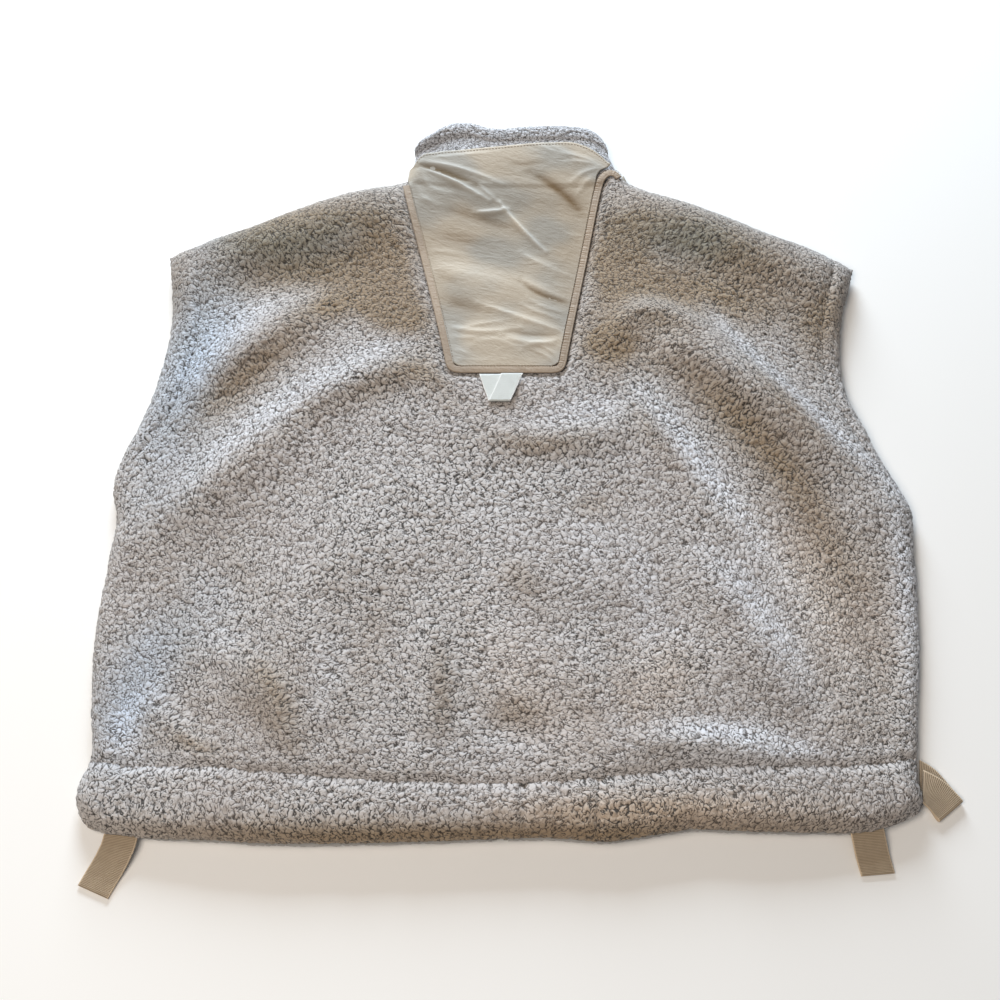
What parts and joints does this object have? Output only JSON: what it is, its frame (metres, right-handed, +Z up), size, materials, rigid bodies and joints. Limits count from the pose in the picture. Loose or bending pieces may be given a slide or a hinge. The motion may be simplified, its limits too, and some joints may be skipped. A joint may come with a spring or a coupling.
{
  "type": "fleece vest",
  "caption": "Sleeveless sherpa fleece vest laid flat face down, with a nylon back yoke and stand collar, turned armhole bands, a hem casing, webbing tabs and a ribbon hanging loop.",
  "frame": {"origin": "centre of the garment's footprint, on the surface it lies on", "axes": "+Z up out of the surface, towards the back of the garment, which lies on top; +Y from the hem to the collar; +X to the right of a viewer who stands at the hem and looks at the back"},
  "size_m": [0.685, 0.7276, 0.0325],
  "materials": {
    "sherpa": "matte curly pile",
    "nylon": "crinkled plain weave with a soft sheen",
    "webbing": "ribbed webbing",
    "ribbon": "smooth ribbon",
    "zip_tape": "woven tape",
    "zip_teeth": "satin moulded plastic",
    "zip_metal": "satin"
  },
  "bodies": {
    "root": {"back_body": "sherpa", "front_left": "sherpa", "front_right": "sherpa", "band_back_left": "sherpa", "band_back_right": "sherpa", "band_front_left": "sherpa", "band_front_right": "sherpa", "hem_back": "sherpa", "hem_front_left": "sherpa", "hem_front_right": "sherpa", "collar_lining": "sherpa", "collar_front_left": "nylon", "collar_front_right": "nylon", "yoke_collar": "nylon", "yoke_binding": "nylon", "hanger_loop": "ribbon", "tab_left": "webbing", "tab_right": "webbing", "side_loop": "webbing", "zip_tape_left": "zip_tape", "zip_tape_right": "zip_tape", "zip_chain": "zip_teeth", "zip_slider": "zip_metal", "zip_pull": "ribbon"}
  },
  "joints": []
}
